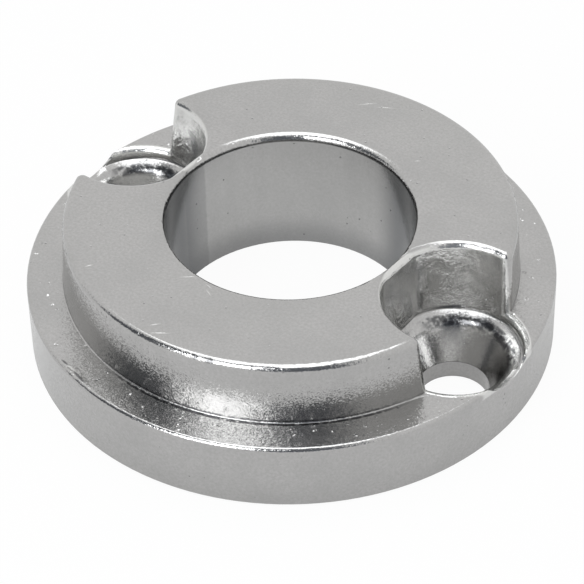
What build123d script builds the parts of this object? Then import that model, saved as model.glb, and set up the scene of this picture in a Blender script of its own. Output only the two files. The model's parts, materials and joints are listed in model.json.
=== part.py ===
from build123d import *
import math
import os

# Sacrificial anode ring: one casting with a wide flange, a narrower drafted boss on it, a plain bore
# for the shaft, and screws that sink into drafted pockets, which open to the boss's side and just
# break through the flange's rim.
# Millimetres, +Z up. The origin is the centre of the bore on the seating face; a screw lies on +X.

# Flange
flange_diameter = 65.0
flange_height = 9.15
flange_edge_chamfer = 0.3
seating_edge_chamfer = 0.35
flange_stock = 3.0  # metal outside the rim until the pockets are cut and rounded

# Boss
boss_root_diameter = 56.1
boss_height = 8.15
boss_draft = 0.5  # how far the wall leans in over its height

# Bore
bore_diameter = 30.3
bore_mouth_chamfer = 0.6

# Screws and the pockets over them
screw_count = 2
screw_circle_diameter = 49.1
screw_hole_diameter = 8.5
screw_land = 2.4  # straight length of the hole under its tapered seat
seat_mouth_diameter = 13.8
seat_mouth_chamfer = 0.95
seat_ledge = 1.2  # from the seat's mouth to the foot of the pocket's wall
pocket_recess = 1.3  # pocket floor below the flange's ledge
pocket_web = 1.1  # metal left between the bore and the top of the pocket's flat
pocket_draft = 0.75  # how far the pocket's wall and flat lean out over their height
notch_depth = 1.65  # where a pocket breaks through the rim, below the flange's ledge
notch_radius = 6.2

# Rounding that the mould leaves on the boss's edges and along the pockets' open sides
cast_edge_radius = 0.87
rounding_in_web = 0.8  # most of the web that this rounding may take

# How far a cutter reaches past the face that it opens
cutter_reach = 1.0
# How close a point lies to a line or a surface that it is on
on_surface = 1e-3

# Places worked out from the sizes above
overall_height = flange_height + boss_height
opening = overall_height + cutter_reach
flange_rim = flange_diameter / 2
boss_root = boss_root_diameter / 2
boss_top = boss_root - boss_draft
bore_wall = bore_diameter / 2
screw_circle = screw_circle_diameter / 2
screw_hole = screw_hole_diameter / 2
seat_mouth = seat_mouth_diameter / 2
pocket_floor = flange_height - pocket_recess
pocket_lean = pocket_draft / (overall_height - pocket_floor)

STANDING = (Align.CENTER, Align.CENTER, Align.MIN)

# The web beside the bore limits the rounding of the edges
edge_rounding = min(cast_edge_radius, rounding_in_web * pocket_web)


def corner_of(section, point):
    """The corner of a section that lies at a point."""
    return section.vertices().sort_by_distance(point)[0]


def pocket_wall(height):
    """Radius of the pocket's wall at a height."""
    return seat_mouth + seat_ledge + pocket_lean * (height - pocket_floor)


def pocket_flat(height):
    """Distance from the bore's axis to the pocket's flat at a height."""
    return bore_wall + pocket_web + pocket_lean * (overall_height - height)


def ring_section():
    """Half section of the plain ring, from the bore's wall to the stock outside the rim."""
    outline = Polyline(
        (bore_wall, 0),
        (flange_rim + flange_stock, 0),
        (flange_rim + flange_stock, flange_height),
        (boss_root, flange_height),
        (boss_top, overall_height),
        (bore_wall, overall_height),
        close=True,
    )
    return Plane.XZ * make_face(outline)


def pocket_cutter():
    """What one screw takes away: the hole, its tapered seat and the head's pocket."""
    mouth = (seat_mouth, pocket_floor)
    outline = Polyline(
        (0, -cutter_reach),
        (screw_hole, -cutter_reach),
        (screw_hole, screw_land),
        mouth,
        (pocket_wall(pocket_floor), pocket_floor),
        (pocket_wall(opening), opening),
        (0, opening),
        close=True,
    )
    section = make_face(outline)
    section = chamfer(corner_of(section, mouth), seat_mouth_chamfer)
    round_way = Pos(screw_circle, 0, 0) * revolve(Plane.XZ * section, Axis.Z)
    past_web = Polyline(
        (pocket_flat(-cutter_reach), -cutter_reach),
        (flange_diameter, -cutter_reach),
        (flange_diameter, opening),
        (pocket_flat(opening), opening),
        close=True,
    )
    return round_way & extrude(Plane.XZ * make_face(past_web), flange_diameter, both=True)


def notch_cutter():
    """Opens the thin rim outside one pocket by a shallow round notch."""
    lying = Pos(screw_circle, 0, flange_height - notch_depth + notch_radius) * Rot(0, 90, 0)
    return lying * Cylinder(notch_radius, flange_diameter, align=STANDING)


def bore_mouth_cutter():
    """Breaks the bore's upper edge, also where a pocket's flat leaves only a thin web beside it."""
    inside = bore_wall - cutter_reach
    outline = Polyline(
        (inside, overall_height - bore_mouth_chamfer),
        (bore_wall, overall_height - bore_mouth_chamfer),
        (bore_wall + bore_mouth_chamfer, overall_height),
        (bore_wall + bore_mouth_chamfer, opening),
        (inside, opening),
        close=True,
    )
    return revolve(Plane.XZ * make_face(outline), Axis.Z)


def rim_cutter():
    """Takes the stock off the flange's rim and breaks the rim's two edges."""
    outside = flange_rim + flange_stock + cutter_reach
    outline = Polyline(
        (flange_rim - seating_edge_chamfer, -cutter_reach),
        (flange_rim - seating_edge_chamfer, 0),
        (flange_rim, seating_edge_chamfer),
        (flange_rim, flange_height - flange_edge_chamfer),
        (flange_rim - flange_edge_chamfer, flange_height),
        (flange_rim - flange_edge_chamfer, opening),
        (outside, opening),
        (outside, -cutter_reach),
        close=True,
    )
    return revolve(Plane.XZ * make_face(outline), Axis.Z)


def from_axis(point):
    """Distance of a point from the bore's axis."""
    return math.hypot(point.X, point.Y)


def is_on_pocket(point):
    """Whether a point lies on the round wall of a pocket."""
    screws = [place.position for place in PolarLocations(screw_circle, screw_count)]
    reach = min(math.hypot(point.X - screw.X, point.Y - screw.Y) for screw in screws)
    return abs(reach - pocket_wall(point.Z)) < on_surface


def is_cast_edge(edge):
    """Whether an edge bounds the boss's top outside the bore, or a pocket's wall on its open side."""
    middle = edge @ 0.5
    if middle.Z > overall_height - on_surface:
        return from_axis(middle) > bore_wall + on_surface
    outside = middle.Z > pocket_floor + on_surface and from_axis(middle) > screw_circle
    return outside and all(is_on_pocket(edge @ part) for part in (0, 0.5, 1))


def anode_ring():
    """The whole casting.

    The bore's mouth and the rim come last, as the cast edges' rounding needs whole metal round it.
    """
    ring = revolve(ring_section(), Axis.Z)
    for cutter in PolarLocations(0, screw_count) * pocket_cutter():
        ring -= cutter
    ring = ring.fillet(edge_rounding, ring.edges().filter_by(is_cast_edge))
    for cutter in PolarLocations(0, screw_count) * notch_cutter():
        ring -= cutter
    return ring - bore_mouth_cutter() - rim_cutter()


os.makedirs("parts", exist_ok=True)
export_step(anode_ring(), "parts/anode_ring.step")
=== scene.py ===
"""Dresses the sacrificial anode ring: its casting with broken edges, its cast zinc skin, and a light tent."""

import json
import logging
import math
from dataclasses import dataclass
from enum import Enum

import bmesh
import bpy
from mathutils import Matrix, Vector


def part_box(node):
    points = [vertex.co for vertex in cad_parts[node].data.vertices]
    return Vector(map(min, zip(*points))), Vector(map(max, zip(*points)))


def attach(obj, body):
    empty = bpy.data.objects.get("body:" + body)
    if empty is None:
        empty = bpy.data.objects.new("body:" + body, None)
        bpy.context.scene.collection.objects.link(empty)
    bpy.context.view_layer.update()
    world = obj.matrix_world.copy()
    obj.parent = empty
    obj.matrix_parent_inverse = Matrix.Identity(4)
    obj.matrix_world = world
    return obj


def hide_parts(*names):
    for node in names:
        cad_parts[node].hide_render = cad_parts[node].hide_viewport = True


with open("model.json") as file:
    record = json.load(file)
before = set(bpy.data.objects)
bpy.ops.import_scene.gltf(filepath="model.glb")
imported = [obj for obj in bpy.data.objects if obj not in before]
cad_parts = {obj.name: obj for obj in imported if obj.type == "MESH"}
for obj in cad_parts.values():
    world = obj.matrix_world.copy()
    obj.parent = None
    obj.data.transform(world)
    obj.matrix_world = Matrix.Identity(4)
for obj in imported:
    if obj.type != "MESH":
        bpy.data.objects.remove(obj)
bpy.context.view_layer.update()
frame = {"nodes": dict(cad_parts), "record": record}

MM = 0.001
SHARE = 1.0
DECIMALS = 3  # of a millimetre, to which the frame's sizes are exact
PLAN = (1.0, 1.0, 0.0)  # keeps a place's two level coordinates
MIDDLE = (0.5, 0.5, 0.5)  # of the random colours
LOG = logging.getLogger("anode")

Tree = bpy.types.NodeTree
Socket = bpy.types.NodeSocket
Masks = dict[str, Socket]


def linear(hex_colour: str) -> tuple[float, float, float, float]:
    """Turns an sRGB hex colour into Blender's linear one.

    Args:
        hex_colour: six hex digits, without a hash sign.

    Returns:
        Red, green, blue and an alpha of 1.
    """
    channels = [int(hex_colour[i : i + 2], 16) / 255 for i in (0, 2, 4)]
    red, green, blue = (c / 12.92 if c <= 0.04045 else ((c + 0.055) / 1.055) ** 2.4 for c in channels)
    return red, green, blue, 1.0


def add_node(tree: Tree, kind: str, inputs: dict | None = None, **settings: object) -> bpy.types.Node:
    """Adds one node with its settings, its values and its links.

    Args:
        tree: the node tree that takes the node.
        kind: the node's Blender type.
        inputs: a value or an output socket for each input, by its name or its number.
        settings: the node's own properties.

    Returns:
        The new node.
    """
    node = tree.nodes.new(kind)
    for name, value in settings.items():
        setattr(node, name, value)
    for key, value in (inputs or {}).items():
        if isinstance(value, Socket):
            tree.links.new(value, node.inputs[key])
        else:
            node.inputs[key].default_value = value
    return node


def new_material(name: str) -> bpy.types.Material:
    """Makes a material whose node tree is empty.

    Args:
        name: the finish that it is named for.

    Returns:
        The material.
    """
    made = bpy.data.materials.new(name)
    made.use_nodes = True
    made.node_tree.nodes.clear()
    return made


def new_object(name: str, shape: bmesh.types.BMesh, finish: bpy.types.Material) -> bpy.types.Object:
    """Puts a shape into the scene, at the origin.

    Args:
        name: the name of the object and its mesh.
        shape: the shape, which is used up.
        finish: its material.

    Returns:
        The object.
    """
    mesh = bpy.data.meshes.new(name)
    shape.to_mesh(mesh)
    shape.free()
    mesh.materials.append(finish)
    made = bpy.data.objects.new(name, mesh)
    bpy.context.scene.collection.objects.link(made)
    return made


@dataclass(frozen=True)
class Casting:
    """The solid's own sizes in millimetres: radii from the bore's axis or a screw's, and heights."""

    rim: float
    top: float
    bore: float
    screw_circle: float
    hole: float
    rim_chamfer: float = 0.3
    seating_chamfer: float = 0.35
    ledge: float = 9.15
    boss_root: float = 28.05
    bore_mouth: float = 0.6
    hole_top: float = 2.4
    seat_top: tuple[float, float] = (6.485, 6.996)  # from the screw's axis, and the height
    seat_mouth: float = 7.85
    pocket_floor: float = 7.85
    pocket_foot: float = 8.1
    pocket_top: float = 8.8

    @classmethod
    def from_frame(cls, node: str) -> "Casting":
        """Takes the driving sizes from the frame.

        Args:
            node: the solid's node.

        Returns:
            The casting's sizes.
        """
        mounts = {mount["name"]: mount["dims"] for mount in frame["record"]["mounts"]}
        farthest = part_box(node)[1]
        return cls(
            rim=round(farthest[0] / MM, DECIMALS),
            top=round(farthest[2] / MM, DECIMALS),
            bore=mounts["shaft_bore"]["r_mm"],
            screw_circle=mounts["screw_holes"]["pcd_mm"] / 2,
            hole=mounts["screw_holes"]["hole_r_mm"],
        )


CASTING = Casting.from_frame("anode_ring")


class Centre(Enum):
    """The upright line that a circle of the casting goes round."""

    BORE = 0
    SCREW = 1


@dataclass(frozen=True)
class Spot:
    """A point of the casting in millimetres: how far it is from the bore's and the nearest screw's axis."""

    from_bore: float
    from_screw: float
    height: float

    @classmethod
    def of(cls, point: Vector, screw_circle: float) -> "Spot":
        """Measures a point.

        Args:
            point: a place in metres.
            screw_circle: distance of a screw's axis from the bore's, in millimetres.

        Returns:
            The spot at that place.
        """
        x, y, z = point / MM
        return cls(math.hypot(x, y), math.hypot(abs(x) - screw_circle, y), z)

    def distance(self, centre: Centre) -> float:
        """Measures how far the spot is from an axis.

        Args:
            centre: the axis.

        Returns:
            The distance in millimetres.
        """
        return self.from_bore if centre is Centre.BORE else self.from_screw


@dataclass(frozen=True)
class BrokenEdge:
    """A circular edge of the casting and the rounding it has, in millimetres.

    The rounding narrows to a thin line from fade_start to fade_end, both measured from the bore's axis. They
    lie past the rim unless they are given, so most edges keep their width all round.
    """

    centre: Centre
    radius: float
    height: float
    width: float
    thin: float = 0.04
    fade_start: float = 99.0
    fade_end: float = 100.0
    slack: float = 0.04  # how far off the circle a spot on the edge may be

    def holds(self, spot: Spot) -> bool:
        """Tells whether a spot is on this edge.

        Args:
            spot: the spot.

        Returns:
            Whether it lies on the edge's circle.
        """
        off_circle = abs(spot.distance(self.centre) - self.radius)
        return off_circle < self.slack and abs(spot.height - self.height) < self.slack

    def width_at(self, spot: Spot) -> float:
        """Works out how wide the rounding is at a spot.

        Args:
            spot: a spot on the edge.

        Returns:
            The width in millimetres.
        """
        share = (self.fade_end - spot.from_bore) / (self.fade_end - self.fade_start)
        return self.thin + (self.width - self.thin) * min(1.0, max(0.0, share))


@dataclass(frozen=True)
class Mark:
    """A small mark in the casting's skin: a level thin ellipse, in millimetres and degrees."""

    x: float
    y: float
    turn: float
    length: float
    width: float = 0.16
    height: float = CASTING.top


class Gauge(Enum):
    """What a region of the skin is told by."""

    FACING_UP = 0
    HEIGHT = 1
    FROM_BORE = 2
    FROM_SCREW = 3
    FROM_SCREWS_PLANE = 4  # with a waver, as the web's edge is uneven
    FROM_SHADED_SIDES = 5  # the plane that the bore's two sides with painted shade face
    OFF_ROOT = 6  # to either side of the painted shade line at the boss's foot
    OFF_SEAT = 7  # to either side of the painted dark reflection in a seat
    TOWARDS_ROOT_SHADE = 8
    TOWARDS_BACK = 9
    STREAKED = 10  # a fine noise
    SWOLLEN = 11  # a broad noise
    OPEN_TO_AIR = 12
    OPEN_TO_METAL = 13


@dataclass(frozen=True)
class Region:
    """A region of the skin, and where on its gauge it begins and is whole, in millimetres or in shares."""

    name: str
    gauge: Gauge
    begins: float
    whole: float
    unit: float = MM


@dataclass(frozen=True)
class Tint:
    """A colour that lies over the metal where a pattern or a region is."""

    where: Socket
    colour: str
    most: float  # the share of the colour where the pattern is whole
    begins: float = 0.0
    whole: float = 1.0


@dataclass(frozen=True)
class CastZincSkin:
    """Cast zinc anode alloy, tumbled after casting: satin light grey metal over a fine orange-peel grain.

    The mould leaves the grain, lumps where the metal froze against the pockets' cores, and streaks where
    the bore's core was pulled out. Tumbling smooths the level faces and polishes the edges. Shade is painted
    into the corners, pinholes, nicks, the boss's foot and the bore's sides and foot, a dark reflection into
    the seats, and light into the bore and pockets. Sizes and depths are in millimetres; roughness and tilts
    are shares.
    """

    name: str
    shaded_sides: tuple[float, float, float] = (0.7804, 0.6252, 0.0)  # towards the bore's two sides that get painted shade
    root_shade_side: tuple[float, float, float] = (0.454, -0.891, 0.0)  # the side of the boss's foot that gets its painted shade line
    root_shade_ring: float = CASTING.boss_root + 0.28  # radius of the painted shade line at the boss's foot
    seat_ring: float = CASTING.seat_top[0] + 0.265  # radius of the painted dark reflection where a seat's mouth begins

    colour: str = "B6B5B4"
    stain: str = "A6A6A5"
    mottle: str = "A3A3A1"
    # dark grey that paints shade into corners, pinholes, nicks and the boss's foot, and a dark reflection
    # into the seats
    painted_dark: str = "3C3D40"
    # light grey for worn edges and scratches, and painted light that lifts the bore and the pockets
    polish_and_light: str = "DADAD8"
    # dark grey for the bore's streaks, and painted shade on the bore's two sides, its foot and behind the
    # webs
    streak_and_shade: str = "6C6E70"

    roughness: float = 0.16
    level_roughness: float = 0.03  # how much rougher than the walls the tumbled level faces mirror
    pocket_roughness: float = 0.06  # and the pockets, where no other casting rubs
    patch_roughness: float = 0.04
    corner_roughness: float = 0.2
    edge_polish: float = 0.06

    noise_roughness: float = 0.55
    cloud: float = 7.0  # size of an oxide cloud, and so on down to the pinholes
    patch: float = 3.5
    swell: float = 3.5
    swell_depth: float = 0.006
    grain: float = 0.22
    grain_depth: float = 0.022
    lump: float = 0.8
    lump_depth: float = 0.1
    streak: float = 0.7
    streak_depth: float = 0.003
    streak_stretch: tuple[float, float, float] = (1.0, 1.0, 0.05)  # streaks run along the bore
    web_waver: float = 0.3  # how far the edge of the web's shadow wanders
    # How much of the grain is gone where the metal is tumbled flat or lay against a core
    smoothed: tuple[tuple[str, float], ...] = (("top", 0.72), ("bore", 0.85), ("screw", 0.5))
    stripe: float = 2.1  # the streaks' colour is coarser than their relief
    speck: float = 0.34
    facet: float = 0.17
    facet_tilt: float = 0.12
    spark: float = 0.425
    spark_chance: float = 0.022
    spark_tilt: float = 0.6
    pit: float = 0.9  # the cell that may hold one pinhole
    pit_rim: float = 0.16  # the pinhole's reach, as a share of its cell
    pit_floor: float = 0.08
    pit_depth: float = 0.03
    pit_chance: float = 0.11
    corner: float = 0.4  # reach of the painted shade in a corner and of the wear on an edge
    corner_samples: int = 6
    scratch_depth: float = 0.012
    mark_height: float = 0.4  # half of a mark's reach up and down
    mark_core: float = 0.2  # the share of a mark that is whole

    # Where each region begins and is whole
    regions: tuple[Region, ...] = (
        Region("flat", Gauge.FACING_UP, 0.93, 0.99, SHARE),
        Region("screw", Gauge.FROM_SCREW, CASTING.pocket_top + 0.4, CASTING.pocket_top + 0.1),
        Region("outside", Gauge.FROM_SCREW, CASTING.pocket_top + 0.1, CASTING.pocket_top + 0.6),
        Region("top", Gauge.HEIGHT, CASTING.top - 0.2, CASTING.top - 0.05),
        Region("low", Gauge.HEIGHT, CASTING.ledge + 0.55, CASTING.ledge + 0.25),
        Region("over_floor", Gauge.HEIGHT, CASTING.pocket_floor + 0.05, CASTING.pocket_floor + 0.45),
        # the bore's foot, which gets painted shade
        Region("foot", Gauge.HEIGHT, 5.0, 0.5),
        Region("bore", Gauge.FROM_BORE, CASTING.bore + 0.15, CASTING.bore + 0.05),
        Region("web", Gauge.FROM_SCREWS_PLANE, 2.3, 1.9),
        Region("side_shade", Gauge.FROM_SHADED_SIDES, 10.5, 14.0),
        # the painted shade line at the boss's foot, kept to one side and broken up by noise
        Region("root", Gauge.OFF_ROOT, 0.26, 0.14),
        Region("shade_side", Gauge.TOWARDS_ROOT_SHADE, 21.0, 25.0),
        Region("broken_up", Gauge.STREAKED, 0.3, 0.5, SHARE),
        Region("seat", Gauge.OFF_SEAT, 0.65, 0.35),
        Region("far_side", Gauge.TOWARDS_BACK, 1.5, 3.5),
        Region("blotches", Gauge.STREAKED, 0.3, 0.6, SHARE),
        Region("patches", Gauge.SWOLLEN, 0.38, 0.62, SHARE),
        Region("corners", Gauge.OPEN_TO_AIR, 0.75, 0.45, SHARE),
        Region("edges", Gauge.OPEN_TO_METAL, 0.8, 0.45, SHARE),
    )
    # Regions that hold only where all of their parts do, in the order that they are worked out
    overlaps: tuple[tuple[str, tuple[str, ...]], ...] = (
        ("pocket", ("screw", "over_floor")),
        ("lumps", ("pocket", "patches")),
        ("web", ("web", "bore")),
        ("side_shade", ("side_shade", "bore")),
        ("foot", ("foot", "bore")),
        ("root", ("root", "low", "broken_up", "outside", "shade_side")),
        ("ledge", ("flat", "low")),
        ("seat", ("seat", "far_side", "blotches")),
    )
    # Bright handling scratches on the top, and one along the flange's edge
    scratches: tuple[Mark, ...] = (
        Mark(-2.4, -16.4, 38.7, 2.6, 0.2),
        Mark(0.6, -16.3, -10.0, 1.3),
        Mark(1.3, -17.2, -25.0, 1.6),
        Mark(1.2, -26.0, 36.0, 3.0),
        Mark(-0.2, -25.2, 50.0, 1.6),
        Mark(-13.2, -21.9, 60.0, 1.4),
        Mark(-5.4, 22.9, 44.0, 3.4, 0.12),
        Mark(-3.0, 23.7, 30.0, 3.2, 0.12),
        Mark(6.5, 17.3, 38.7, 1.0),
        Mark(-21.0, -6.0, 100.0, 1.2, 0.12),
        Mark(-9.6, -30.3, -10.0, 2.4, 0.5, CASTING.ledge),
    )
    # Nicks in the boss's edge, at a hole and in the flange's edge, painted dark as shade with no dent in the
    # surface
    nicks: tuple[Mark, ...] = (
        Mark(8.5, -25.9, 18.0, 1.6, 1.0, CASTING.top - 0.35),
        Mark(6.8, -26.4, 15.0, 0.9, 0.8, CASTING.top - 0.35),
        Mark(26.8, -8.1, 40.0, 0.9, 0.7, CASTING.ledge - 0.05),
        Mark(-7.6, -30.9, -17.0, 3.0, 0.4, CASTING.ledge),
        Mark(-10.6, -30.0, -12.0, 1.6, 0.35, CASTING.ledge),
    )
    # The flange's battered edge, a rough spot at the back and a hole's burr
    rough_spots: tuple[Mark, ...] = (
        Mark(-8.6, -31.0, -15.5, 7.0, 2.4, CASTING.ledge - 0.05),
        Mark(13.3, 28.8, 155.0, 3.4, 1.6, CASTING.ledge - 0.05),
        Mark(26.9, -8.0, 70.0, 2.2, 1.8, CASTING.ledge - 0.05),
    )

    def material(self) -> bpy.types.Material:
        """Builds the skin's node material.

        Returns:
            The material.
        """
        made = new_material(self.name)
        tree = made.node_tree
        place = add_node(tree, "ShaderNodeTexCoord").outputs["Object"]
        masks = self.masks(tree, place)
        metal = add_node(
            tree,
            "ShaderNodeBsdfPrincipled",
            {
                "Base Color": self.tone(tree, place, masks),
                "Metallic": 1.0,
                "Roughness": self.sheen(tree, place, masks),
                "Normal": self.relief(tree, place, masks),
            },
        )
        add_node(tree, "ShaderNodeOutputMaterial", {"Surface": metal.outputs["BSDF"]})
        return made

    def noise(self, place: Socket, size: float, detail: float) -> dict[str, object]:
        """Sizes a noise by its features.

        Args:
            place: the coordinates.
            size: the features' size in millimetres.
            detail: how many finer layers it has.

        Returns:
            The noise's inputs.
        """
        scale = 1 / (size * MM)
        return {"Vector": place, "Scale": scale, "Detail": detail, "Roughness": self.noise_roughness}

    def drawn_out(self, tree: Tree, place: Socket) -> Socket:
        """Stretches the coordinates along the bore, as its core was pulled out.

        Args:
            tree: the material's nodes.
            place: the Object coordinates.

        Returns:
            The stretched coordinates.
        """
        return add_node(
            tree, "ShaderNodeVectorMath", {0: place, 1: self.streak_stretch}, operation="MULTIPLY"
        ).outputs[0]

    def closeness(self, tree: Tree, inside: bool) -> Socket:
        """Tells how open the surface is within a corner's size.

        Args:
            tree: the material's nodes.
            inside: whether it is the metal that it looks into, and not the air.

        Returns:
            From 0, where it is closed in, to 1.
        """
        return add_node(
            tree,
            "ShaderNodeAmbientOcclusion",
            {"Distance": self.corner * MM},
            inside=inside,
            samples=self.corner_samples,
        ).outputs["AO"]

    def gauges(self, tree: Tree, place: Socket) -> dict[Gauge, Socket]:
        """Measures where a point of the skin is, how it faces and what the mould did to it.

        Args:
            tree: the material's nodes.
            place: the Object coordinates.

        Returns:
            A length in metres or a share for each gauge. The two screws count as one.
        """
        facing = add_node(tree, "ShaderNodeNewGeometry").outputs["Normal"]
        on_plan = add_node(tree, "ShaderNodeVectorMath", {0: place, 1: PLAN}, operation="MULTIPLY").outputs[0]
        half = add_node(tree, "ShaderNodeVectorMath", {0: on_plan}, operation="ABSOLUTE").outputs[0]
        screw = (CASTING.screw_circle * MM, 0.0, 0.0)
        streaked = add_node(tree, "ShaderNodeTexNoise", self.noise(place, self.streak, detail=1.0))
        swollen = add_node(tree, "ShaderNodeTexNoise", self.noise(place, self.swell, detail=1.0))
        found: dict[Gauge, Socket] = {
            Gauge.STREAKED: streaked.outputs["Fac"],
            Gauge.SWOLLEN: swollen.outputs["Fac"],
            Gauge.OPEN_TO_AIR: self.closeness(tree, inside=False),
            Gauge.OPEN_TO_METAL: self.closeness(tree, inside=True),
        }
        for gauge, vector, axis in (
            (Gauge.FACING_UP, facing, "Z"),
            (Gauge.HEIGHT, place, "Z"),
            (Gauge.TOWARDS_BACK, place, "Y"),
            (Gauge.FROM_SCREWS_PLANE, half, "Y"),
        ):
            found[gauge] = add_node(tree, "ShaderNodeSeparateXYZ", {0: vector}).outputs[axis]
        for gauge, inputs, operation in (
            (Gauge.FROM_BORE, {0: on_plan}, "LENGTH"),
            (Gauge.FROM_SCREW, {0: half, 1: screw}, "DISTANCE"),
            (Gauge.FROM_SHADED_SIDES, {0: place, 1: self.shaded_sides}, "DOT_PRODUCT"),
            (Gauge.TOWARDS_ROOT_SHADE, {0: place, 1: self.root_shade_side}, "DOT_PRODUCT"),
        ):
            measured = add_node(tree, "ShaderNodeVectorMath", inputs, operation=operation)
            found[gauge] = measured.outputs["Value"]
        for gauge, source, ring in (
            (Gauge.OFF_ROOT, Gauge.FROM_BORE, self.root_shade_ring),
            (Gauge.OFF_SEAT, Gauge.FROM_SCREW, self.seat_ring),
        ):
            past = add_node(tree, "ShaderNodeMath", {0: found[source], 1: ring * MM}, operation="SUBTRACT")
            found[gauge] = past.outputs[0]
        for gauge in (Gauge.FROM_SHADED_SIDES, Gauge.OFF_ROOT, Gauge.OFF_SEAT):
            either_side = add_node(tree, "ShaderNodeMath", {0: found[gauge]}, operation="ABSOLUTE")
            found[gauge] = either_side.outputs[0]
        found[Gauge.FROM_SCREWS_PLANE] = add_node(
            tree,
            "ShaderNodeMath",
            {0: found[Gauge.STREAKED], 1: self.web_waver * MM, 2: found[Gauge.FROM_SCREWS_PLANE]},
            operation="MULTIPLY_ADD",
        ).outputs[0]
        return found

    def masks(self, tree: Tree, place: Socket) -> Masks:
        """Marks the regions that tumbling, the mould and wear treat differently, and those given painted
        light and shade.

        Args:
            tree: the material's nodes.
            place: the Object coordinates.

        Returns:
            From 0 to 1 for each region, each overlap of regions and each kind of mark.
        """
        gauges = self.gauges(tree, place)
        found: Masks = {}
        for region in self.regions:
            ramp = {
                "Value": gauges[region.gauge],
                "From Min": region.begins * region.unit,
                "From Max": region.whole * region.unit,
            }
            share = add_node(tree, "ShaderNodeMapRange", ramp, interpolation_type="SMOOTHSTEP")
            found[region.name] = share.outputs[0]
        for name, (first, *others) in self.overlaps:
            shared = found[first]
            for other in others:
                both = {0: shared, 1: found[other]}
                shared = add_node(tree, "ShaderNodeMath", both, operation="MULTIPLY").outputs[0]
            found[name] = shared
        found["pits"] = self.pits(tree, place)
        found["scratches"] = self.marks(tree, place, self.scratches)
        found["nicks"] = self.marks(tree, place, self.nicks)
        both = {0: found["lumps"], 1: self.marks(tree, place, self.rough_spots)}
        found["lumps"] = add_node(tree, "ShaderNodeMath", both, operation="MAXIMUM").outputs[0]
        return found

    def marks(self, tree: Tree, place: Socket, kept: tuple[Mark, ...]) -> Socket:
        """Marks some long thin ellipses.

        Args:
            tree: the material's nodes.
            place: the Object coordinates.
            kept: the marks.

        Returns:
            From 0 outside them to 1 in their cores.
        """
        found: Socket | float = 0.0
        for mark in kept:
            own_frame = {
                "Vector": place,
                "Location": Vector((mark.x, mark.y, mark.height)) * MM,
                "Rotation": (0.0, 0.0, math.radians(mark.turn)),
                "Scale": Vector((mark.length / 2, mark.width / 2, self.mark_height)) * MM,
            }
            own = add_node(tree, "ShaderNodeMapping", own_frame, vector_type="TEXTURE").outputs[0]
            reach = add_node(tree, "ShaderNodeVectorMath", {0: own}, operation="LENGTH").outputs["Value"]
            ramp = {"Value": reach, "From Min": 1.0, "From Max": self.mark_core}
            inside = add_node(tree, "ShaderNodeMapRange", ramp).outputs[0]
            found = add_node(tree, "ShaderNodeMath", {0: inside, 1: found}, operation="MAXIMUM").outputs[0]
        return found

    def pits(self, tree: Tree, place: Socket) -> Socket:
        """Marks the pinholes, which only some of the pattern's cells have.

        Args:
            tree: the material's nodes.
            place: the Object coordinates.

        Returns:
            From 0 outside them to 1 on their floors.
        """
        cells = add_node(tree, "ShaderNodeTexVoronoi", {"Vector": place, "Scale": 1 / (self.pit * MM)})
        ramp = {"Value": cells.outputs["Distance"], "From Min": self.pit_rim, "From Max": self.pit_floor}
        hole = add_node(tree, "ShaderNodeMapRange", ramp, interpolation_type="SMOOTHSTEP").outputs[0]
        chance = add_node(tree, "ShaderNodeSeparateColor", {0: cells.outputs["Color"]}).outputs["Red"]
        picked = add_node(
            tree, "ShaderNodeMath", {0: chance, 1: self.pit_chance}, operation="LESS_THAN"
        ).outputs[0]
        return add_node(tree, "ShaderNodeMath", {0: hole, 1: picked}, operation="MULTIPLY").outputs[0]

    def relief(self, tree: Tree, place: Socket, masks: Masks) -> Socket:
        """Bends the surface by the skin's heights, over crystals that lie a little askew.

        Args:
            tree: the material's nodes.
            place: the Object coordinates.
            masks: the regions.

        Returns:
            The bent normal.
        """
        coarse: Socket | float = 1.0
        for mask, share in self.smoothed:
            left = {0: masks[mask], 1: -share, 2: coarse}
            coarse = add_node(tree, "ShaderNodeMath", left, operation="MULTIPLY_ADD").outputs[0]
        bump = {
            "Height": self.height(tree, place, masks, coarse),
            "Distance": MM,
            "Strength": 1.0,
            "Normal": self.facets(tree, place, masks, coarse),
        }
        return add_node(tree, "ShaderNodeBump", bump).outputs["Normal"]

    def height(self, tree: Tree, place: Socket, masks: Masks, coarse: Socket) -> Socket:
        """Adds up the skin's heights.

        Args:
            tree: the material's nodes.
            place: the Object coordinates.
            masks: the regions.
            coarse: how much of the grain tumbling has left.

        Returns:
            The height in millimetres.
        """
        drawn_out = self.drawn_out(tree, place)
        layers = (
            (self.noise(place, self.swell, detail=1.0), self.swell_depth, 1.0),
            (self.noise(place, self.grain, detail=2.0), self.grain_depth, coarse),
            (self.noise(place, self.lump, detail=2.0), self.lump_depth, masks["lumps"]),
            (self.noise(drawn_out, self.streak, detail=3.0), self.streak_depth, masks["bore"]),
        )
        height: Socket | float = 0.0
        for pattern, depth, mask in layers:
            bumps = add_node(tree, "ShaderNodeTexNoise", pattern).outputs["Fac"]
            kept = add_node(tree, "ShaderNodeMath", {0: bumps, 1: mask}, operation="MULTIPLY").outputs[0]
            layer = {0: kept, 1: depth, 2: height}
            height = add_node(tree, "ShaderNodeMath", layer, operation="MULTIPLY_ADD").outputs[0]
        for mask, depth in (("pits", self.pit_depth), ("scratches", self.scratch_depth)):
            sunk = {0: masks[mask], 1: -depth, 2: height}
            height = add_node(tree, "ShaderNodeMath", sunk, operation="MULTIPLY_ADD").outputs[0]
        return height

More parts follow.
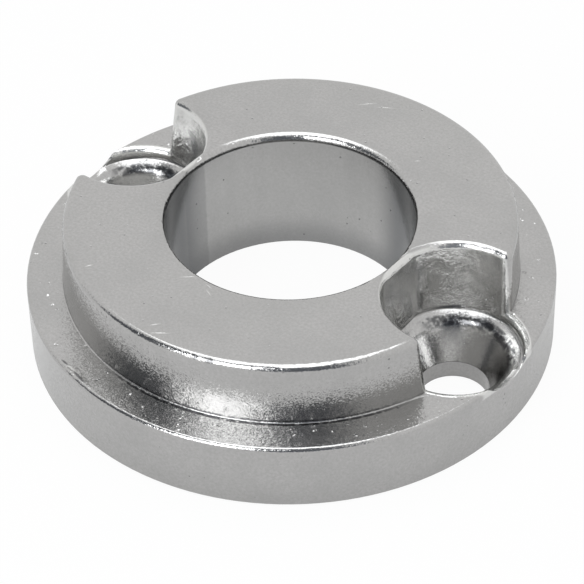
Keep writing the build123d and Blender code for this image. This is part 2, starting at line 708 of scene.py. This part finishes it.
    def facets(self, tree: Tree, place: Socket, masks: Masks, coarse: Socket) -> Socket:
        """Tilts each crystal of the skin a little, and a few on the ledge so far that they spark.

        Args:
            tree: the material's nodes.
            place: the Object coordinates.
            masks: the regions.
            coarse: how much of the grain tumbling has left.

        Returns:
            The tilted normal.
        """
        crystals = add_node(tree, "ShaderNodeTexVoronoi", {"Vector": place, "Scale": 1 / (self.facet * MM)})
        grains = add_node(tree, "ShaderNodeTexVoronoi", {"Vector": place, "Scale": 1 / (self.spark * MM)})
        chance = add_node(tree, "ShaderNodeSeparateColor", {0: grains.outputs["Color"]}).outputs["Red"]
        picked = add_node(tree, "ShaderNodeMath", {0: chance, 1: self.spark_chance}, operation="LESS_THAN")
        sparks = add_node(
            tree, "ShaderNodeMath", {0: picked.outputs[0], 1: masks["ledge"]}, operation="MULTIPLY"
        )
        usual = add_node(tree, "ShaderNodeMath", {0: coarse, 1: self.facet_tilt}, operation="MULTIPLY")
        strength = add_node(
            tree,
            "ShaderNodeMath",
            {0: sparks.outputs[0], 1: self.spark_tilt, 2: usual.outputs[0]},
            operation="MULTIPLY_ADD",
        )
        either_way = add_node(
            tree, "ShaderNodeVectorMath", {0: crystals.outputs["Color"], 1: MIDDLE}, operation="SUBTRACT"
        )
        askew = add_node(
            tree,
            "ShaderNodeVectorMath",
            {0: either_way.outputs[0], "Scale": strength.outputs[0]},
            operation="SCALE",
        )
        plain = add_node(tree, "ShaderNodeNewGeometry").outputs["Normal"]
        tilted = add_node(tree, "ShaderNodeVectorMath", {0: askew.outputs[0], 1: plain}, operation="ADD")
        unit = add_node(tree, "ShaderNodeVectorMath", {0: tilted.outputs[0]}, operation="NORMALIZE")
        return unit.outputs[0]

    def tone(self, tree: Tree, place: Socket, masks: Masks) -> Socket:
        """Colours the metal: clouded by oxide, with painted shade and dark reflections in hollows, painted
        light in the bore and pockets, and bright where it is worn.

        Args:
            tree: the material's nodes.
            place: the Object coordinates.
            masks: the regions.

        Returns:
            The colour.
        """
        drawn_out = self.drawn_out(tree, place)
        clouds, mottle, streaks = (
            add_node(tree, "ShaderNodeTexNoise", pattern).outputs["Fac"]
            for pattern in (
                self.noise(place, self.cloud, detail=4.0),
                self.noise(place, self.speck, detail=2.0),
                self.noise(drawn_out, self.stripe, detail=2.0),
            )
        )
        stripes = add_node(tree, "ShaderNodeMath", {0: streaks, 1: masks["bore"]}, operation="MULTIPLY")
        colour: Socket | tuple = linear(self.colour)
        for tint in (
            Tint(clouds, self.stain, 0.5, begins=0.4, whole=0.7),
            Tint(mottle, self.mottle, 0.6, begins=0.3, whole=0.7),
            Tint(stripes.outputs[0], self.streak_and_shade, 0.06, begins=0.35, whole=0.6),
            # painted light: the bore lifted lighter
            Tint(masks["bore"], self.polish_and_light, 0.25),
            Tint(masks["web"], self.streak_and_shade, 0.3),
            # painted shade: the bore darker towards its foot
            Tint(masks["foot"], self.streak_and_shade, 0.4),
            # painted shade on the bore's two sides
            Tint(masks["side_shade"], self.streak_and_shade, 0.85),
            # painted light: the pockets lifted lighter
            Tint(masks["pocket"], self.polish_and_light, 0.85),
            # painted shade: a dark line at the boss's foot, on one side only
            Tint(masks["root"], self.painted_dark, 0.85),
            # painted dark reflection on the far side of each seat's mouth, in blotches
            Tint(masks["seat"], self.painted_dark, 0.8),
            Tint(masks["scratches"], self.polish_and_light, 0.8),
            # painted shade standing in for the nicks' dents
            Tint(masks["nicks"], self.painted_dark, 0.7, whole=0.6),
            # painted shade in the pinholes
            Tint(masks["pits"], self.painted_dark, 0.45),
            # painted shade in the corners, darker the more closed in they are
            Tint(masks["corners"], self.painted_dark, 0.6),
            Tint(masks["edges"], self.polish_and_light, 0.2),
        ):
            ramp = {"Value": tint.where, "From Min": tint.begins, "From Max": tint.whole, "To Max": tint.most}
            share = add_node(tree, "ShaderNodeMapRange", ramp).outputs[0]
            mixed = {"Factor": share, 6: colour, 7: linear(tint.colour)}
            colour = add_node(tree, "ShaderNodeMix", mixed, data_type="RGBA").outputs[2]
        return colour

    def sheen(self, tree: Tree, place: Socket, masks: Masks) -> Socket:
        """Sets how roughly each region mirrors.

        Args:
            tree: the material's nodes.
            place: the Object coordinates.
            masks: the regions.

        Returns:
            The roughness.
        """
        patches = add_node(tree, "ShaderNodeTexNoise", self.noise(place, self.patch, detail=3.0))
        rough: Socket | float = self.roughness
        for where, gain in (
            (masks["flat"], self.level_roughness),
            (masks["pocket"], self.pocket_roughness),
            (patches.outputs["Fac"], self.patch_roughness),
            (masks["corners"], self.corner_roughness),
            (masks["edges"], -self.edge_polish),
        ):
            layer = {0: where, 1: gain, 2: rough}
            rough = add_node(tree, "ShaderNodeMath", layer, operation="MULTIPLY_ADD").outputs[0]
        return rough


@dataclass
class CastRing:
    """The one casting: flange, boss, bore and the two open screw pockets.

    Lengths are in millimetres and angles in degrees, apart from touching and on_plane, which are in metres.
    """

    size: Casting = CASTING
    body: str = "root"
    node: str = "anode_ring"
    slot: str = "cast_zinc"
    weld: float = 0.03  # tessellation points nearer than this are one
    touching: float = 1e-6
    on_plane: float = 1e-7
    flat_within: float = 0.3
    level_from: float = 0.9999  # a normal's upright share from which a face is level
    sharp_from: float = 24.0  # between two faces that make an edge to break
    folded_from: float = 115.0  # past this, an edge only folds a sliver over
    crease_from: float = 40.0  # past this, an edge with no rounding is a crease
    widest: float = 0.5
    rounding_steps: int = 3
    corner_gap: float = 2.2  # the boss's corner rounding begins this far from the pocket's foot
    fade_from: float = 2.5  # inside the rim, where a pocket's mouth begins to lose its rounding
    fade_to: float = 0.6

    def broken_edges(self) -> list[BrokenEdge]:
        """Lists the edges to round, from the seating face up.

        Returns:
            The edges.
        """
        size, bore, screw = self.size, Centre.BORE, Centre.SCREW
        near_rim = {"fade_start": size.rim - self.fade_from, "fade_end": size.rim - self.fade_to}
        return [
            BrokenEdge(bore, size.bore, 0.0, width=0.14),
            BrokenEdge(screw, size.hole, 0.0, width=0.1),
            BrokenEdge(bore, size.rim - size.seating_chamfer, 0.0, width=0.1),
            BrokenEdge(bore, size.rim, size.seating_chamfer, width=0.1),
            BrokenEdge(screw, size.hole, size.hole_top, width=0.1),
            BrokenEdge(screw, *size.seat_top, width=self.widest),
            BrokenEdge(screw, size.seat_mouth, size.pocket_floor, width=0.22, **near_rim),
            BrokenEdge(bore, size.boss_root, size.ledge, width=0.16),
            BrokenEdge(bore, size.rim, size.ledge - size.rim_chamfer, width=0.17),
            BrokenEdge(bore, size.rim - size.rim_chamfer, size.ledge, width=0.17),
            BrokenEdge(bore, size.bore, size.top - size.bore_mouth, width=0.4),
            BrokenEdge(bore, size.bore + size.bore_mouth, size.top, width=0.4),
        ]

    def cast_shape(self) -> bmesh.types.BMesh:
        """Copies the solid's mesh and welds it, so that its flat faces are whole.

        Returns:
            The shape, cut along its two middle planes.
        """
        shape = bmesh.new()
        shape.from_mesh(frame["nodes"][self.node].data)
        bmesh.ops.remove_doubles(shape, verts=shape.verts, dist=self.touching)
        bmesh.ops.remove_doubles(shape, verts=shape.verts, dist=self.weld * MM)
        flat = math.radians(self.flat_within)
        bmesh.ops.dissolve_limit(shape, angle_limit=flat, verts=shape.verts, edges=shape.edges)
        for normal in ((1, 0, 0), (0, 1, 0)):
            whole = [*shape.verts, *shape.edges, *shape.faces]
            bmesh.ops.bisect_plane(shape, geom=whole, plane_co=(0, 0, 0), plane_no=normal, dist=self.on_plane)
        bridges = [edge for edge in shape.edges if self.is_bridge(edge)]
        bmesh.ops.dissolve_edges(shape, edges=bridges, use_verts=False)
        return shape

    def is_bridge(self, edge: bmesh.types.BMEdge) -> bool:
        """Tells whether an edge only divides a flat level face, off the two middle planes.

        Args:
            edge: the edge.

        Returns:
            Whether it can go.
        """
        level = all(abs(face.normal.z) > self.level_from for face in edge.link_faces)
        middle = any(all(abs(vert.co[axis]) < self.touching for vert in edge.verts) for axis in (0, 1))
        return level and not middle and edge.calc_face_angle(math.pi) < math.radians(self.flat_within)

    def weigh_edges(self, shape: bmesh.types.BMesh) -> None:
        """Gives each edge the share of the widest rounding that it gets.

        Args:
            shape: the casting, whose edges are weighed and smoothed in place.
        """
        weights = shape.edges.layers.float.new("bevel_weight_edge")
        wanted = self.broken_edges()
        for edge in shape.edges:
            if not math.radians(self.sharp_from) < edge.calc_face_angle(0) < math.radians(self.folded_from):
                continue
            spot = Spot.of((edge.verts[0].co + edge.verts[1].co) / 2, self.size.screw_circle)
            found = [broken for broken in wanted if broken.holds(spot)]
            if found and not self.is_tight(spot):
                edge[weights] = found[0].width_at(spot) / self.widest
            crease = edge.calc_face_angle(0) > math.radians(self.crease_from)
            edge.smooth = edge[weights] > 0 or not crease

    def is_tight(self, spot: Spot) -> bool:
        """Tells whether a spot lies where a pocket's own rounding leaves no room for another one.

        Args:
            spot: a spot on an edge.

        Returns:
            Whether the edge stays sharp there.
        """
        size = self.size
        at_ledge = abs(spot.height - size.ledge) < 2 * self.weld
        at_root = at_ledge and spot.from_bore < size.boss_root + self.weld
        at_web = spot.height > size.top - self.weld
        near_pocket = spot.from_screw < size.pocket_foot + self.corner_gap
        return near_pocket and (at_root or at_web)

    def build(self) -> bpy.types.Object:
        """Builds the piece and sets it in place of the solid.

        Returns:
            The piece.
        """
        shape = self.cast_shape()
        self.weigh_edges(shape)
        # Zinc anode alloy as it leaves the mould and the tumbler: satin, with bright worn edges
        piece = new_object("ring_casting", shape, CastZincSkin("cast_zinc_tumbled").material())
        piece.data.shade_smooth()
        rounding = piece.modifiers.new("broken_edges", "BEVEL")
        rounding.limit_method = "WEIGHT"
        rounding.width = self.widest * MM
        rounding.segments = self.rounding_steps
        rounding.use_clamp_overlap = False
        rounding.loop_slide = False
        weighted = piece.modifiers.new("flat_faces_stay_flat", "WEIGHTED_NORMAL")
        weighted.keep_sharp = True
        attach(piece, self.body)
        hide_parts(self.node)
        return piece


@dataclass(frozen=True)
class Aim:
    """A direction from the ring, in degrees: to the right of the camera's azimuth, and above the floor."""

    right: float
    up: float
    camera_azimuth: float = -51.3  # from the screws' plane

    def direction(self) -> Vector:
        """Works out the direction.

        Returns:
            The unit vector from the ring.
        """
        azimuth, elevation = math.radians(self.right + self.camera_azimuth), math.radians(self.up)
        level = math.cos(elevation)
        return Vector((level * math.cos(azimuth), level * math.sin(azimuth), math.sin(elevation)))

    def turned(self, distance: float) -> Matrix:
        """Works out how a lamp in this direction hangs.

        Args:
            distance: how far from the ring it is, in metres.

        Returns:
            Its place and turn, facing the ring.
        """
        away = self.direction()
        return Matrix.Translation(away * distance) @ away.to_track_quat("Z", "Y").to_matrix().to_4x4()


@dataclass
class LightTent:
    """A plain white tent: floor, white surroundings, soft lamps, and dark cards for the tent's openings."""

    distance: float = 0.6
    daylight: str = "FAFCFF"
    floor_colour: str = "CBCBCB"
    floor_size: float = 3.0
    floor_gap: float = 0.01 * MM  # keeps the floor off the seating face
    seen_glow: float = 0.95  # how much of the floor is plain white to the camera
    mirrored_glow: float = 0.4  # and in the metal
    card_distance: float = 1.2  # how much farther than the lamps the cards hang
    card_steps: tuple[int, int] = (24, 12)

    def surround(self) -> None:
        """Surrounds the ring with plain white."""
        world = bpy.data.worlds.new("white_tent")
        bpy.context.scene.world = world
        world.use_nodes = True
        background = world.node_tree.nodes["Background"]
        background.inputs["Color"].default_value = (1.0, 1.0, 1.0, 1.0)
        background.inputs["Strength"].default_value = 1.0

    def paper(self) -> bpy.types.Material:
        """Makes matt white paper, which the camera sees lit through from below.

        Returns:
            The material.
        """
        made = new_material("white_paper")
        tree = made.node_tree
        paper = add_node(tree, "ShaderNodeBsdfDiffuse", {"Color": linear(self.floor_colour)}).outputs[0]
        glow = add_node(tree, "ShaderNodeEmission", {"Color": (1, 1, 1, 1), "Strength": 1.0}).outputs[0]
        rays = add_node(tree, "ShaderNodeLightPath")
        seen = add_node(
            tree,
            "ShaderNodeMath",
            {0: rays.outputs["Is Camera Ray"], 1: self.seen_glow},
            operation="MULTIPLY",
        )
        share = add_node(
            tree,
            "ShaderNodeMath",
            {0: rays.outputs["Is Glossy Ray"], 1: self.mirrored_glow, 2: seen.outputs[0]},
            operation="MULTIPLY_ADD",
        )
        mixed = add_node(tree, "ShaderNodeMixShader", {0: share.outputs[0], 1: paper, 2: glow})
        add_node(tree, "ShaderNodeOutputMaterial", {"Surface": mixed.outputs[0]})
        return made

    def floor(self) -> None:
        """Lays the floor that the ring stands on."""
        shape = bmesh.new()
        bmesh.ops.create_grid(shape, x_segments=1, y_segments=1, size=self.floor_size)
        bmesh.ops.translate(shape, vec=(0, 0, -self.floor_gap), verts=shape.verts)
        floor = new_object("floor", shape, self.paper())

    def lamp(
        self, name: str, aim: Aim, width: float, height: float, radiance: float, aside: float = 0.0
    ) -> None:
        """Hangs a soft lamp.

        Args:
            name: its name.
            aim: where it hangs.
            width: its width as an angle in degrees seen from the ring.
            height: its height in the same way.
            radiance: how bright it looks; plain white is 1.
            aside: how far it is moved along its own width, in metres.
        """
        light = bpy.data.lights.new(name, "AREA")
        light.shape = "RECTANGLE"
        light.color = linear(self.daylight)[:3]
        light.size = 2 * self.distance * math.tan(math.radians(width / 2))
        light.size_y = 2 * self.distance * math.tan(math.radians(height / 2))
        light.energy = radiance * math.pi * light.size * light.size_y
        lamp = bpy.data.objects.new(name, light)
        lamp.matrix_world = aim.turned(self.distance) @ Matrix.Translation((aside, 0, 0))
        bpy.context.scene.collection.objects.link(lamp)

    def card(self, name: str, across: tuple[float, float], upward: tuple[float, float], colour: str) -> None:
        """Hangs a dark curved card that only the metal sees.

        Args:
            name: its name.
            across: the angles between which it reaches, in degrees to the right of the camera's azimuth.
            upward: the same above the floor.
            colour: how bright it looks.
        """
        shape = bmesh.new()
        columns, rows = self.card_steps
        # A square of side 1 about the origin, whose places are shares of the two reaches
        bmesh.ops.create_grid(shape, x_segments=columns, y_segments=rows, size=0.5)
        for corner in shape.verts:
            right = across[0] + (across[1] - across[0]) * (corner.co.x + 0.5)
            up = upward[0] + (upward[1] - upward[0]) * (corner.co.y + 0.5)
            corner.co = Aim(right, up).direction() * self.distance * self.card_distance
        made = new_material(name)
        glow = add_node(made.node_tree, "ShaderNodeEmission", {"Color": linear(colour), "Strength": 1.0})
        add_node(made.node_tree, "ShaderNodeOutputMaterial", {"Surface": glow.outputs[0]})
        card = new_object(name, shape, made)
        card.visible_camera = False
        card.visible_shadow = False
        card.visible_diffuse = False

    def build(self) -> None:
        """Puts up the tent."""
        self.surround()
        self.floor()
        self.lamp("overhead_lamp", Aim(0, 97.5), width=33, height=39, radiance=2.2, aside=0.047)
        self.lamp("window_lamp", Aim(-34, 36), width=28, height=36, radiance=5.4)
        self.card("front_opening", across=(-16, 24), upward=(0, 78), colour="6C7078")
        self.card("upper_gap", across=(-54, -17), upward=(55, 76), colour="34373C")
        self.card("side_opening", across=(-98, -54), upward=(12, 68), colour="5E6268")


@dataclass(frozen=True)
class StudioCamera:
    """The camera: a long lens that looks down on the ring, in degrees, metres and millimetres of lens."""

    elevation: float = 41.3397
    roll: float = 1.4448
    distance: float = 0.337759
    aside: float = 0.0000848
    below: float = 0.0034361
    lens: float = 166.405
    sensor: float = 36.0
    clip: float = 0.01

    def build(self) -> None:
        """Sets up the camera and hands it to the scene."""
        back = Aim(0, self.elevation).direction()
        level = Vector((0, 0, 1)).cross(back).normalized()
        upright = back.cross(level)
        angle = math.radians(self.roll)
        right = math.cos(angle) * level - math.sin(angle) * upright
        up = math.sin(angle) * level + math.cos(angle) * upright
        place = -right * self.aside + up * self.below + back * self.distance
        camera = bpy.data.cameras.new("camera")
        camera.lens = self.lens
        camera.sensor_width = self.sensor
        camera.sensor_fit = "HORIZONTAL"
        camera.clip_start = self.clip
        holder = bpy.data.objects.new("camera", camera)
        turn = Matrix((right, up, back)).transposed().to_4x4()
        holder.matrix_world = Matrix.Translation(place) @ turn
        bpy.context.scene.collection.objects.link(holder)
        bpy.context.scene.camera = holder


def main() -> None:
    """Builds the camera, the tent and the ring."""
    logging.basicConfig(level=logging.INFO, format="%(message)s")
    bpy.context.scene.view_settings.view_transform = "Standard"
    StudioCamera().build()
    LightTent().build()
    piece = CastRing().build()
    LOG.info("%s: %d faces", piece.name, len(piece.data.polygons))


if __name__ == "__main__":
    main()
